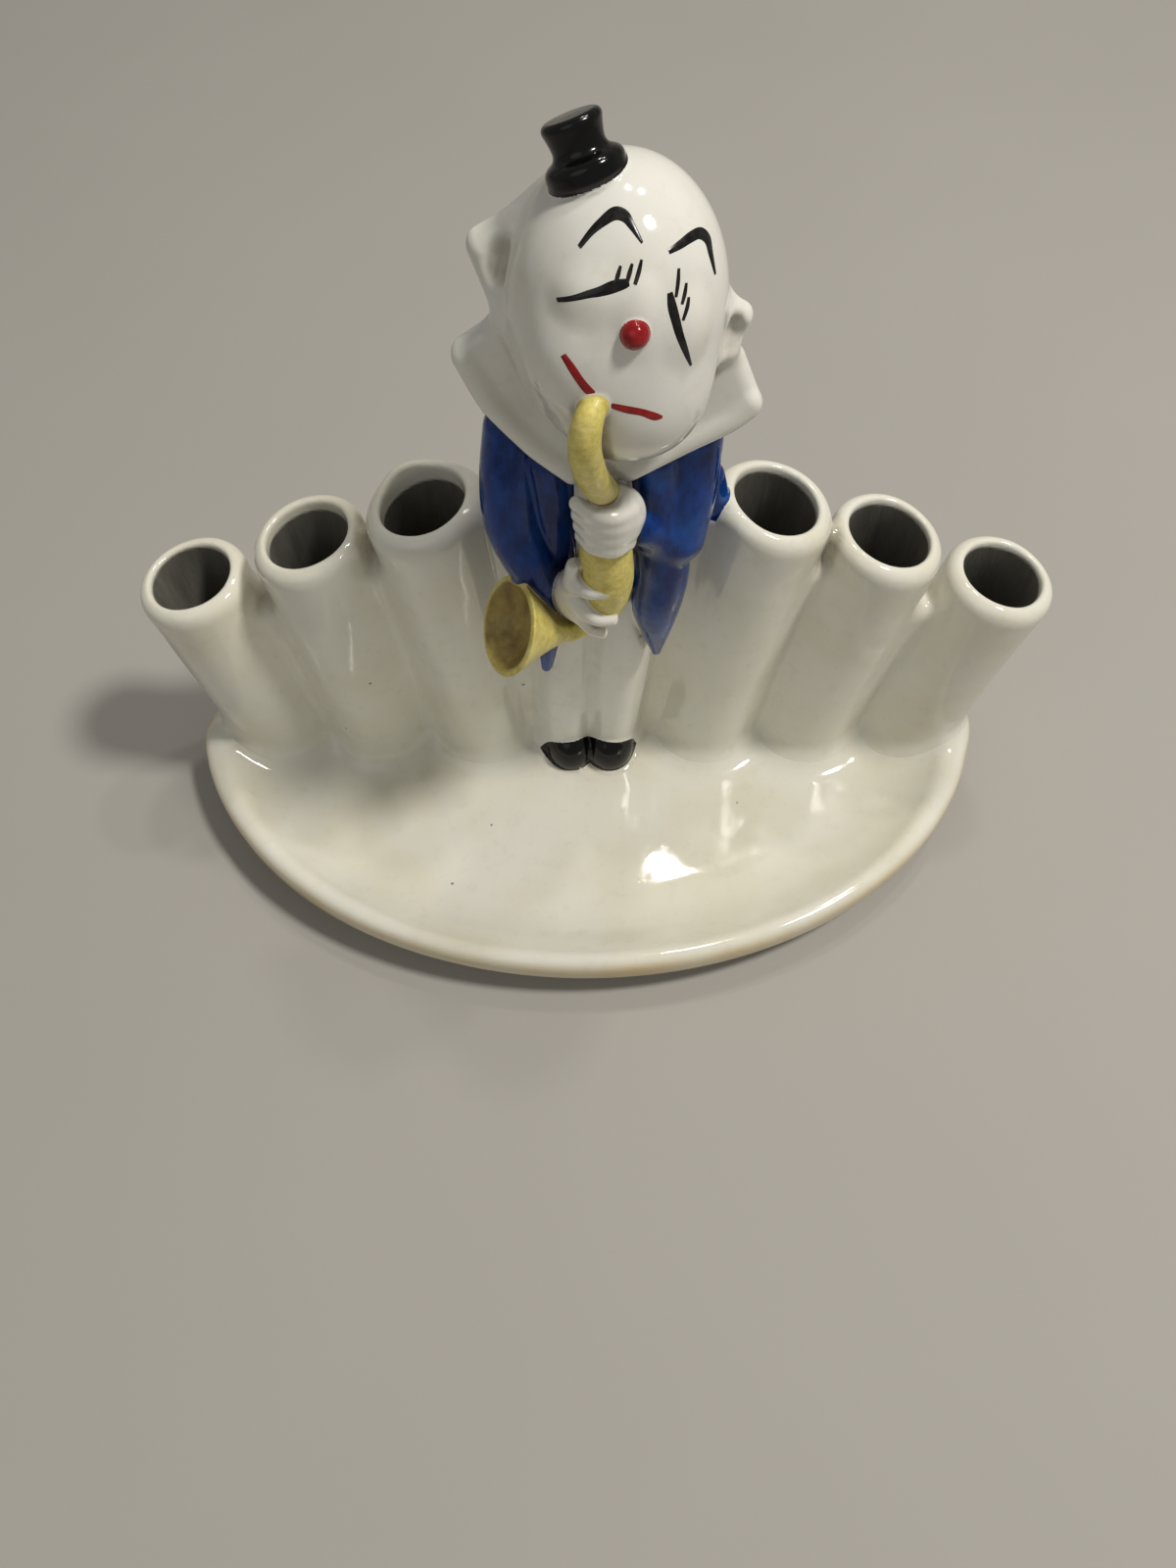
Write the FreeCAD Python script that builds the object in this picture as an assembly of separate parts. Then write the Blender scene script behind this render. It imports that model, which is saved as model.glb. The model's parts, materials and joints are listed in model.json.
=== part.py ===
import FreeCAD, Part
import math
import os

# Glazed ceramic figure of a clown playing a saxophone, in front of six upright holder tubes
# that stand in the back of a shallow crescent dish. Millimetres, +Z up, front towards -Y.

V = FreeCAD.Vector
os.makedirs("parts", exist_ok=True)

# ---- dish -------------------------------------------------------------------------------
DISH_X = -1.3            # the dish sits a little to one side of the row of tubes
DISH_Y = 20.0            # widest line of the plan
DISH_HALF_W = 61.0
DISH_FRONT = 46.5        # from the widest line to the front edge
DISH_BACK = 7.7
DISH_FLOOR = 4.0         # top of the floor inside
RIM_H = 9.5
FOOT_H = 1.2             # recess under the dish
PLAN_POINTS = 56         # evenly spaced points on each plan curve
OUTER = ((0.0, 7.0), (2.0, 4.2), (5.0, 1.5), (7.8, 0.2), (9.0, 0.5), (9.5, 1.5))
BASIN = ((4.0, 10.0), (4.7, 7.4), (6.5, 5.2), (8.6, 3.7), (9.4, 2.8), (9.9, 2.2))

# ---- holder tubes -----------------------------------------------------------------------
TUBE_Y = 18.0
TUBE_R = 7.7
BORE_R = 5.5
BORE_FLOOR = 4.5         # clay left under each bore
LIP_R = 1.05
# half-row: x at the floor, x at the mouth, mouth height, slope of the mouth in degrees
TUBE_ROW = ((17.2, 22.2, 55.5, 13.7), (33.2, 37.8, 49.4, 11.8), (49.4, 55.1, 41.1, 9.4))
WEB_Y = (15.2, 20.8)
WEB_DROP = 5.0           # the webs stop this far below the lower of two mouths
BACK_WEB_TOP = 60.0

# ---- figure -----------------------------------------------------------------------------
HEAD_C = V(1.0, 10.5, 89.15)
HEAD_R = 10.7
HEAD_HALF_H = 14.0
HEAD_TILT = 3.0          # crown leans to +X
HEAD_TIP = 20.0          # crown leans back
NOSE_R = 1.35
HAT_BASE = V(-2.0, 12.7, 102.0)
HAT_AXIS = V(-0.33, 0.36, 0.87)
BRIM_R = 4.0
BRIM_T = 1.9
CROWN_R = 2.5
CROWN_H = 5.4


def outline(inset, z, back):
    """Closed plan curve of the dish at one height: half ellipse in front, squarer behind."""
    dense = []
    for i in range(721):
        t = 2.0 * math.pi * i / 720.0
        c = math.cos(t)
        s = math.sin(t)
        if s < 0:
            x = (DISH_HALF_W - inset) * c
            y = (DISH_FRONT - inset) * s
        else:
            x = (DISH_HALF_W - inset) * math.copysign(abs(c) ** 0.6, c)
            y = back * s ** 0.6
        dense.append(V(DISH_X + x, DISH_Y + y, z))
    run = [0.0]
    for p, q in zip(dense, dense[1:]):
        run.append(run[-1] + p.distanceToPoint(q))
    pts = []
    k = 0
    for i in range(PLAN_POINTS):
        while run[k + 1] < run[-1] * i / PLAN_POINTS:
            k += 1
        pts.append(dense[k])
    curve = Part.BSplineCurve()
    curve.interpolate(Points=pts, PeriodicFlag=True)
    return Part.Wire(curve.toShape())


def loft(wires):
    return Part.makeLoft(wires, True, False)


def column(sections):
    """Solid through rounded sections (x, y, z, rx, ry), all with the same number of points."""
    wires = []
    for x, y, z, rx, ry in sections:
        pts = []
        for i in range(12):
            t = 2.0 * math.pi * i / 12.0
            pts.append(V(x + rx * math.cos(t), y + ry * math.sin(t), z))
        curve = Part.BSplineCurve()
        curve.interpolate(Points=pts, PeriodicFlag=True)
        wires.append(Part.Wire(curve.toShape()))
    return loft(wires)


def ellipsoid(centre, radii, rotation=FreeCAD.Rotation()):
    ball = Part.makeSphere(1.0)
    m = FreeCAD.Matrix()
    m.scale(V(*radii))
    ball = ball.transformGeometry(m)
    ball.Placement = FreeCAD.Placement(centre, rotation)
    return ball


def egg(centre, radius, half_length, rotation):
    """Ellipsoid of revolution about its own long axis."""
    meridian = Part.Ellipse(V(0, 0, half_length), V(radius, 0, 0), V(0, 0, 0))
    arc = Part.Arc(meridian, 0.0, math.pi).toShape()
    chord = Part.makeLine(arc.Vertexes[-1].Point, arc.Vertexes[0].Point)
    solid = Part.Face(Part.Wire([arc, chord])).revolve(V(0, 0, 0), V(0, 0, 1), 360.0)
    solid.Placement = FreeCAD.Placement(centre, rotation)
    return solid


def limb(stations):
    """Rounded limb: cones between stations (x, y, z, r) with a ball at each of them."""
    shape = None
    for i, (x, y, z, r) in enumerate(stations):
        piece = Part.makeSphere(r, V(x, y, z))
        shape = piece if shape is None else shape.fuse(piece)
        if i == 0:
            continue
        x0, y0, z0, r0 = stations[i - 1]
        step = V(x - x0, y - y0, z - z0)
        d = step.Length
        # the cone touches both balls along their tangent circles
        k = (r0 - r) / d
        c = math.sqrt(1.0 - k * k)
        axis = V(step).normalize()
        start = V(x0, y0, z0) + axis * (r0 * k)
        if abs(r0 - r) < 1e-6:
            cone = Part.makeCylinder(r0, d, start, axis)
        else:
            cone = Part.makeCone(r0 * c, r * c, d + (r - r0) * k, start, axis)
        shape = shape.fuse(cone)
    return shape.removeSplitter()


def keep_largest(shape):
    solids = sorted(shape.Solids, key=lambda s: s.Volume)
    return solids[-1]


def cut_all(shape, tools):
    for tool in tools:
        if shape.BoundBox.intersect(tool.BoundBox):
            shape = shape.cut(tool)
    return shape


# ---- dish and tubes ---------------------------------------------------------------------
def tube_frames():
    """Name, foot point, mouth point, unit axis and mouth normal of each tube, left to right."""
    frames = []
    for side, order in ((-1, (2, 1, 0)), (1, (0, 1, 2))):
        for k in order:
            xf, xm, zm, slope = TUBE_ROW[k]
            foot = V(side * xf, TUBE_Y, DISH_FLOOR)
            mouth = V(side * xm, TUBE_Y, zm)
            axis = (mouth - foot).normalize()
            a = math.radians(slope)
            normal = V(side * math.sin(a), 0.0, math.cos(a))
            frames.append(("tube_%d" % (len(frames) + 1), foot, mouth, axis, normal))
    return frames


def half_space_above(point, normal, size=60.0):
    box = Part.makeBox(size, size, size, V(-size / 2, -size / 2, 0))
    box.Placement = FreeCAD.Placement(point, FreeCAD.Rotation(V(0, 0, 1), normal))
    return box


def envelope(frame):
    """The tube with no bore, standing on the dish floor."""
    name, foot, mouth, axis, normal = frame
    body = Part.makeCylinder(TUBE_R, 75.0, foot - axis * 8.0, axis)
    body = body.cut(half_space_above(mouth, normal))
    floor = Part.makeBox(60, 60, 30, V(foot.x - 30, TUBE_Y - 30, DISH_FLOOR - 30))
    return body.cut(floor)


def tube(frame):
    name, foot, mouth, axis, normal = frame
    body = envelope(frame)
    body = body.cut(Part.makeCylinder(BORE_R, 80.0, foot + axis * BORE_FLOOR, axis))
    lips = []
    for e in body.Edges:
        on_mouth = all(abs((v.Point - mouth).dot(normal)) < 1e-4 for v in e.Vertexes)
        if on_mouth and abs((e.BoundBox.Center - mouth).dot(normal)) < 0.5:
            lips.append(e)
    return body.makeFillet(LIP_R, lips)


def dish(envelopes):
    outer = loft([outline(i, z, DISH_BACK - 0.35 * i) for z, i in OUTER])
    basin = loft([outline(i, z, DISH_BACK + 12.0) for z, i in BASIN])
    body = outer.cut(basin)
    below = Part.makeBox(200, 200, 10, V(-100, -100, -10))
    body = body.cut(below)
    foot = loft([outline(13.0, -1.0, 1.5), outline(13.0, FOOT_H, 1.5)])
    body = body.cut(foot)
    # the side rims run down behind the outer tubes
    slope = V(0.0, 0.62, 1.0).normalize()
    body = body.cut(half_space_above(V(0, 13.5, RIM_H + 0.1), slope, 160.0))
    return keep_largest(cut_all(body, envelopes))


def web(a, b, envelopes, top):
    """Clay that fills the gap between two neighbouring tubes."""
    pts = []
    for frame, z in ((a, DISH_FLOOR), (b, DISH_FLOOR), (b, top), (a, top)):
        name, foot, mouth, axis, normal = frame
        k = (z - DISH_FLOOR) / axis.z
        pts.append(V(foot.x + axis.x * k, WEB_Y[0], z))
    face = Part.Face(Part.makePolygon(pts + pts[:1]))
    slab = face.extrude(V(0, WEB_Y[1] - WEB_Y[0], 0))
    return cut_all(slab, envelopes)


# ---- figure -----------------------------------------------------------------------------
def head_rotation():
    tip = FreeCAD.Rotation(V(1, 0, 0), -HEAD_TIP)
    tilt = FreeCAD.Rotation(V(0, 1, 0), HEAD_TILT)
    return tilt.multiply(tip)


def hat_crown():
    profile = [V(0, 0, 0), V(CROWN_R, 0, 0), V(CROWN_R - 0.15, 0, 1.8), V(CROWN_R - 0.1, 0, 3.2)]
    curve = Part.BSplineCurve()
    curve.interpolate(Points=profile[1:] + [V(CROWN_R + 0.25, 0, CROWN_H - 0.8)])
    top = Part.Arc(V(CROWN_R + 0.25, 0, CROWN_H - 0.8), V(CROWN_R - 0.1, 0, CROWN_H - 0.15),
                   V(CROWN_R - 0.9, 0, CROWN_H)).toShape()
    cap = Part.makeLine(V(CROWN_R - 0.9, 0, CROWN_H), V(0, 0, CROWN_H))
    axis = Part.makeLine(V(0, 0, CROWN_H), V(0, 0, 0))
    base = Part.makeLine(V(0, 0, 0), V(CROWN_R, 0, 0))
    face = Part.Face(Part.Wire([base, curve.toShape(), top, cap, axis]))
    solid = face.revolve(V(0, 0, 0), V(0, 0, 1), 360.0)
    solid = Part.makeSolid(Part.makeShell(solid.Faces)) if solid.ShapeType != "Solid" else solid
    solid.Placement = FreeCAD.Placement(HAT_BASE, FreeCAD.Rotation(V(0, 0, 1), HAT_AXIS))
    return solid


def hat_brim():
    rotation = FreeCAD.Rotation(V(0, 0, 1), HAT_AXIS)
    disc = Part.makeCylinder(BRIM_R, BRIM_T, V(0, 0, -BRIM_T * 0.55))
    disc = disc.makeFillet(BRIM_T * 0.45, [e for e in disc.Edges if e.Closed])
    disc.Placement = FreeCAD.Placement(HAT_BASE, rotation)
    return disc


def ear(centre, radii, rotation, hollow_centre, hollow_radii):
    return ellipsoid(centre, radii, rotation).cut(ellipsoid(hollow_centre, hollow_radii, rotation))


def wing(points, lean_x, y0, z0, slope, depth):
    """Collar wing: a flat plate that leans back, with its outer edges rounded."""
    pts = [V(x, y0 + lean_x * x + slope * (z - z0), z) for x, z in points]
    plate = Part.Face(Part.makePolygon(pts + pts[:1])).extrude(V(0, depth, 0))
    return plate.makeFillet(depth * 0.38, plate.Edges)


def bell():
    """Saxophone bell: a flared cone with a shallow dished mouth."""
    profile = [V(1.2, 0, 0), V(2.5, 0, 3.6), V(4.2, 0, 6.8), V(6.1, 0, 9.3)]
    flare = Part.BSplineCurve()
    flare.interpolate(Points=profile)
    dished = Part.BSplineCurve()
    dished.interpolate(Points=[V(5.5, 0, 9.5), V(3.4, 0, 7.8), V(0, 0, 6.4)])
    edges = [Part.makeLine(V(0, 0, 0), profile[0]), flare.toShape(),
             Part.makeLine(profile[-1], V(5.5, 0, 9.5)), dished.toShape(),
             Part.makeLine(V(0, 0, 6.4), V(0, 0, 0))]
    solid = Part.Face(Part.Wire(edges)).revolve(V(0, 0, 0), V(0, 0, 1), 360.0)
    axis = V(-0.83, -0.30, 0.47)
    solid.Placement = FreeCAD.Placement(V(-3.4, 4.6, 46.2), FreeCAD.Rotation(V(0, 0, 1), axis))
    return solid


def hand(centre, radii, fingers):
    shape = ellipsoid(V(*centre), radii)
    for stations in fingers:
        shape = shape.fuse(limb(stations))
    return shape.removeSplitter()


def figure():
    """Every piece of the figure in the order it is cut: each one is cut by those before it."""
    rot = head_rotation()
    pieces = []
    pieces.append(("head", egg(HEAD_C, HEAD_R, HEAD_HALF_H, rot)))
    pieces.append(("sax_neck", limb([(-0.7, 0.4, 87.6, 1.3), (-1.8, -1.8, 86.0, 1.5),
                                     (-2.1, -1.8, 82.5, 1.7), (-1.4, 0.2, 77.0, 1.75),
                                     (0.1, 3.6, 71.0, 1.85)])))
    nose_local = V(1.1, -HEAD_R - 0.05, 1.3)
    pieces.append(("nose", Part.makeSphere(NOSE_R, HEAD_C + rot.multVec(nose_local))))
    pieces.append(("hat_crown", hat_crown()))
    pieces.append(("hat_brim", hat_brim()))
    pieces.append(("left_ear", ear(V(-9.2, 13.0, 92.4), (3.9, 2.4, 4.7),
                                   FreeCAD.Rotation(V(0, 1, 0), 12), V(-10.0, 10.9, 92.6),
                                   (2.6, 1.7, 3.2))))
    pieces.append(("right_ear", ear(V(11.6, 11.4, 86.8), (3.4, 2.3, 4.6),
                                    FreeCAD.Rotation(V(0, 1, 0), 12), V(12.4, 9.4, 86.6),
                                    (1.7, 1.6, 2.6))))
    pieces.append(("collar_left", wing([(-15.6, 83.6), (-8.5, 88.2), (1.0, 88.0), (1.0, 71.5),
                                        (-3.4, 69.6), (-8.0, 73.0), (-12.4, 77.6)],
                                       0.0, 9.6, 83.0, 0.30, 2.8)))
    pieces.append(("collar_right", wing([(16.4, 77.8), (13.6, 83.4), (9.0, 87.0), (1.0, 87.0),
                                         (1.0, 70.3), (2.6, 70.3), (8.0, 73.0), (13.2, 75.6)],
                                        0.0, 9.6, 83.0, 0.30, 2.8)))
    pieces.append(("upper_hand", hand((0.8, 5.2, 67.6), (3.7, 2.9, 3.2),
                                      [[(-2.4, 3.6, z, 0.95), (0.4, 2.4, z - 0.4, 1.0),
                                        (3.2, 3.4, z - 0.8, 0.95)] for z in (69.8, 68.0, 66.2)])))
    pieces.append(("lower_hand", hand((-1.8, 4.8, 53.4), (3.8, 2.9, 3.8),
                                      [[(-4.4, 4.2, z, 1.0), (-1.8, 2.6, z - 0.3, 1.05),
                                        (0.6, 2.4, z - 1.0, 0.9)] for z in (57.2, 54.4, 51.6)])))
    pieces.append(("sax_bell", bell()))
    pieces.append(("sax_body", limb([(0.0, 4.4, 65.5, 2.5), (0.5, 4.0, 60.5, 2.9),
                                     (0.9, 4.0, 55.5, 2.6), (0.0, 5.0, 49.0, 2.2),
                                     (-3.4, 4.0, 45.4, 1.6)])))
    pieces.append(("left_sleeve", limb([(-9.9, 12.6, 72.0, 3.4), (-10.3, 9.4, 61.8, 3.6),
                                        (-8.0, 6.8, 55.8, 3.1), (-5.4, 5.6, 51.4, 2.2)])))
    pieces.append(("right_sleeve", limb([(10.1, 12.6, 70.8, 3.4), (9.2, 9.8, 57.6, 3.3),
                                         (5.0, 6.6, 63.6, 2.3)])))
    pieces.append(("jacket_left_front", limb([(-6.0, 9.6, 69.4, 2.6), (-5.4, 8.4, 61.0, 2.7),
                                              (-5.6, 8.0, 53.0, 2.2), (-6.4, 10.4, 44.0, 2.2),
                                              (-7.2, 10.4, 31.0, 0.8)])))
    pieces.append(("jacket_right_front", limb([(5.6, 10.2, 69.6, 2.7), (6.6, 9.6, 58.0, 3.2),
                                               (7.2, 9.4, 52.6, 3.4), (6.9, 9.2, 44.5, 3.1),
                                               (7.8, 9.8, 35.2, 0.8)])))
    pieces.append(("back_tail", limb([(13.2, 17.4, 59.6, 2.2), (13.8, 17.4, 56.4, 2.4)])))
    pieces.append(("shirt_front", limb([(0.0, 10.6, 50.5, 3.6), (0.0, 10.3, 69.5, 3.9)])))
    pieces.append(("jacket_back", column([(-0.5, 16.0, 38.0, 8.2, 4.6), (-0.5, 15.8, 50.0, 9.2, 5.2),
                                          (-0.2, 15.4, 62.0, 10.4, 5.4), (0.0, 15.0, 71.0, 11.0, 5.2),
                                          (0.6, 14.8, 77.0, 7.8, 4.4)])))
    pieces.append(("left_shoe", ellipsoid(V(-4.3, 12.6, 6.2), (3.75, 3.6, 4.2))))
    pieces.append(("right_shoe", ellipsoid(V(2.4, 12.6, 6.2), (3.7, 3.6, 4.2))))
    pieces.append(("left_leg", column([(-4.9, 15.2, 4.0, 3.7, 3.9), (-4.8, 15.1, 14.0, 3.9, 4.6),
                                       (-4.5, 14.8, 30.0, 4.1, 5.0), (-3.8, 15.0, 46.0, 4.3, 5.0)])))
    pieces.append(("right_leg", column([(2.4, 15.2, 4.0, 3.7, 3.9), (2.7, 15.1, 14.0, 3.9, 4.6),
                                        (3.2, 14.8, 30.0, 4.6, 5.0), (3.4, 15.0, 46.0, 4.6, 5.0)])))
    return pieces


def main():
    frames = tube_frames()
    envelopes = [envelope(f) for f in frames]
    out = {"dish": dish(envelopes)}
    for f in frames:
        out[f[0]] = tube(f)
    ground = Part.makeBox(200, 200, 20, V(-100, -100, DISH_FLOOR - 20))
    done = list(envelopes)
    done.append(ground)
    for name, shape in figure():
        shape = keep_largest(cut_all(shape, done))
        out[name] = shape
        done.append(shape)
    for i in (0, 1, 3, 4):
        a, b = frames[i], frames[i + 1]
        top = min(a[2].z, b[2].z) - WEB_DROP
        out["web_%d_%d" % (i + 1, i + 2)] = keep_largest(web(a, b, envelopes, top))
    middle = web(frames[2], frames[3], envelopes, BACK_WEB_TOP - WEB_DROP)
    out["back_web"] = keep_largest(cut_all(middle, done))
    for name, shape in out.items():
        if not shape.isValid():
            print("invalid:", name)
        print(name, round(shape.Volume, 1), len(shape.Faces))
        shape.exportStep("parts/%s.step" % name)


main()
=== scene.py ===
"""Looks of a glazed pottery clown with a saxophone, its holder tubes and its dish.

Every piece is sculpted as a distance field in millimetres, placed from the CAD boxes and bores.
Neighbouring fields run into each other with small fillets, as slip-joined clay does, and each piece
then keeps its own share of the common surface.
"""

import json
import math
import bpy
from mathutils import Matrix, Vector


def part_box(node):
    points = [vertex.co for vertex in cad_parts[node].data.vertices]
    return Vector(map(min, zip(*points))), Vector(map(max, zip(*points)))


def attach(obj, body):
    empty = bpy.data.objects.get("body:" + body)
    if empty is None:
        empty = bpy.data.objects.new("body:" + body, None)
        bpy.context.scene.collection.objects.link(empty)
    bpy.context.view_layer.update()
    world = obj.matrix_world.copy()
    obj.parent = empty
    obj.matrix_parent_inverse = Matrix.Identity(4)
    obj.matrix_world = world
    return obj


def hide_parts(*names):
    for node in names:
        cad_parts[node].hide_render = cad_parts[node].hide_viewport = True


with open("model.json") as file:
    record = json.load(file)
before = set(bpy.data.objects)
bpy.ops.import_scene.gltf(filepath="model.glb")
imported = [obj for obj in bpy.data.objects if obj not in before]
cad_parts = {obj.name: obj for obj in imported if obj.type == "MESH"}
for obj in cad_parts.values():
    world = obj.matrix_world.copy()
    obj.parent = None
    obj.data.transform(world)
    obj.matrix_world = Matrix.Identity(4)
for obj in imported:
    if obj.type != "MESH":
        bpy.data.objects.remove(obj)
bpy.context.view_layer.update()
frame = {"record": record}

from concurrent.futures import ThreadPoolExecutor

import bpy
import numpy as np
import openvdb
from mathutils import Matrix, Vector

MM = 0.001               # one millimetre in metres
TINY = 1e-9              # keeps a division away from zero

# camera, in millimetres and degrees
CAMERA_AT = (-3.0, -86.0, 164.5)
CAMERA_PITCH = 60.0
CAMERA_YAW = 1.1
CAMERA_ROLL = 0.7
CAMERA_LENS = 27.0
SENSOR = 36.0

# dish section
RIM_H = 9.5
ROOT_H = 2.5             # where tubes, webs and trousers start, sunk in the dish floor
BASIN_H = 3.3            # lowest part of the basin
FRONT_SHARE = 0.883      # share of the dish's depth that lies in front of its widest line
# tubes: slope of each mouth from the middle of the row outwards, in degrees
MOUTH_SLOPE = (13.7, 11.8, 9.4)
GLAZED_DEPTH = (0.6, 1.6, 2.2, 1.0, 0.8, 0.8)    # how far the glaze runs down each bore
# each tube's unevenness has its own seeds: its number, plus one of these
MOUTH_SEED = 20
BORE_SEED = 40
GLAZE_SEED = 60
# head
HEAD_R = 10.7
HEAD_HALF_H = 14.0
HEAD_TILT = 3.0
HEAD_TIP = 20.0
HAT_AXIS = (-0.33, 0.36, 0.87)
# saxophone bell: where it starts from the middle of its box, which way it opens, its length
BELL_BASE = (5.2, 2.8, -4.3)
BELL_AXIS = (-0.83, -0.30, 0.47)
BELL_L = 9.3
# collar wings: how far they lean back for each millimetre up, and their thickness
COLLAR_LEAN = 0.30
COLLAR_THICK = 2.6


# ---- distance fields --------------------------------------------------------------------
def smin(a, b, k):
    """Smaller of two distances, with a fillet about k wide where they cross."""
    h = np.maximum(k - np.abs(a - b), 0.0) / k
    return np.minimum(a, b) - h * h * k * 0.25


def smax(a, b, k):
    """Larger of two distances, with the edge where they cross rounded over about k."""
    return -smin(-a, -b, k)


def rotation(tilt, tip):
    """Turn about X by -tip, then about Y by tilt, in degrees."""
    m = Matrix.Rotation(math.radians(tilt), 3, "Y") @ Matrix.Rotation(math.radians(-tip), 3, "X")
    return np.array(m)


def ellipsoid_distance(q, radii):
    """Distance to an ellipsoid about the origin, nearly true close to its surface."""
    k0 = np.linalg.norm(q / radii, axis=1)
    k1 = np.linalg.norm(q / (radii * radii), axis=1)
    return k0 * (k0 - 1.0) / np.maximum(k1, 1e-6)


def ellipsoid(centre, radii, turn=np.eye(3)):
    """Field of an ellipsoid, turned about its own centre."""
    centre = np.array(centre)
    radii = np.array(radii)
    return lambda p: ellipsoid_distance((p - centre) @ turn, radii)


def smooth_stations(stations, steps):
    """Catmull-Rom points through a short list of stations (x, y, z, r)."""
    s = np.array(stations, dtype=float)
    s = np.vstack([2 * s[0] - s[1], s, 2 * s[-1] - s[-2]])
    out = []
    for i in range(1, len(s) - 2):
        for t in np.arange(steps) / steps:
            a, b, c, d = s[i - 1:i + 3]
            out.append(0.5 * (2 * b + (c - a) * t + (2 * a - 5 * b + 4 * c - d) * t ** 2
                              + (3 * b - a - 3 * c + d) * t ** 3))
    out.append(s[-2])
    return np.array(out)


def limb(stations, steps=5):
    """Field of a round limb through stations (x, y, z, r), as a chain of tapered cones."""
    s = smooth_stations(stations, steps)

    def field(p):
        d = np.full(len(p), 50.0)
        for a, b in zip(s, s[1:]):
            length = np.linalg.norm(b[:3] - a[:3])
            axis = (b[:3] - a[:3]) / length
            taper = np.clip((a[3] - b[3]) / length, -0.95, 0.95)
            along = (p - a[:3]) @ axis
            out = np.linalg.norm(p - a[:3] - along[:, None] * axis, axis=1)
            t = np.clip((along - out * taper / math.sqrt(1.0 - taper ** 2)) / length, 0.0, 1.0)
            d = np.minimum(d, np.hypot(along - t * length, out) - (a[3] + (b[3] - a[3]) * t))
        return d
    return field


def polygon(x, y, corners):
    """Signed distance to a closed 2D polygon, negative inside."""
    c = np.array(corners, dtype=float)
    best = np.full(x.shape, 1e9)
    inside = np.zeros(x.shape, dtype=bool)
    for a, b in zip(c, np.roll(c, -1, axis=0)):
        e = b - a
        t = np.clip(((x - a[0]) * e[0] + (y - a[1]) * e[1]) / (e @ e), 0.0, 1.0)
        best = np.minimum(best, np.hypot(x - a[0] - t * e[0], y - a[1] - t * e[1]))
        crosses = (a[1] > y) != (b[1] > y)
        if abs(e[1]) > 1e-9:
            inside ^= crosses & (x < a[0] + (y - a[1]) * e[0] / e[1])
    return np.where(inside, -best, best)


def joined(fields, k):
    """One field from several, with fillets about k wide between them."""
    def field(p):
        d = fields[0](p)
        for f in fields[1:]:
            d = smin(d, f(p), k)
        return d
    return field


def carved(base, tool, k):
    """A field with another one cut out of it, its edge rounded over about k."""
    return lambda p: smax(base(p), -tool(p), k)


def wobble(p, size, seed):
    """Low, smooth hand-made unevenness, between -1 and 1."""
    rng = np.random.default_rng(seed)
    total = np.zeros(len(p))
    for _ in range(5):
        direction = rng.normal(size=3)
        direction *= 2 * math.pi / (size * np.linalg.norm(direction))
        total += np.sin(p @ direction + rng.uniform(0, 6.28))
    return total / 5.0


def around(p, base, axis):
    """Radius and height of points about an axis that starts at base."""
    q = p - base
    height = q @ axis
    return np.linalg.norm(q - height[:, None] * axis, axis=1), height


def unit(vectors):
    """Rows of an array brought to length one."""
    return vectors / np.maximum(np.linalg.norm(vectors, axis=1), TINY)[:, None]


def changes(value, points, step):
    """A value at each point, and how much it changes over a step along each axis."""
    here = value(points)
    return here, np.stack([value(points + step * way) - here for way in np.eye(3)], axis=1)


# ---- places taken from the frame --------------------------------------------------------
def box(node):
    """Corners of a CAD node's box, in millimetres."""
    lo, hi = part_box(node)
    return np.array(lo) / MM, np.array(hi) / MM


def at(node, dx, dy, dz, *more):
    """Point offset in millimetres from the middle of a CAD node's box, with what follows kept."""
    lo, hi = box(node)
    p = (lo + hi) / 2 + np.array((dx, dy, dz))
    return (p[0], p[1], p[2]) + tuple(more)


def run(node, stations):
    """Limb stations offset from the middle of a CAD node's box."""
    return [at(node, *s) for s in stations]


def outline_of(node, corners):
    """Corners given as (x, z) from the middle of a CAD node's box."""
    return [at(node, x, 0.0, z)[::2] for x, z in corners]


class Piece:
    """One visible piece: its field, the fillet (soft) to its neighbours, mesh cell and finish."""

    REACH = 2.0              # the fillet is felt this much further out than it is wide

    def __init__(self, node, field, soft, voxel, slot):
        self.node = node
        self.field = field
        self.soft = soft
        self.voxel = voxel
        self.slot = slot
        self.lo, self.hi = box(node)

    def close_to(self, p):
        """Which points are near enough to feel this piece."""
        margin = self.soft + self.REACH
        return np.all((p > self.lo - margin) & (p < self.hi + margin), axis=1)


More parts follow.
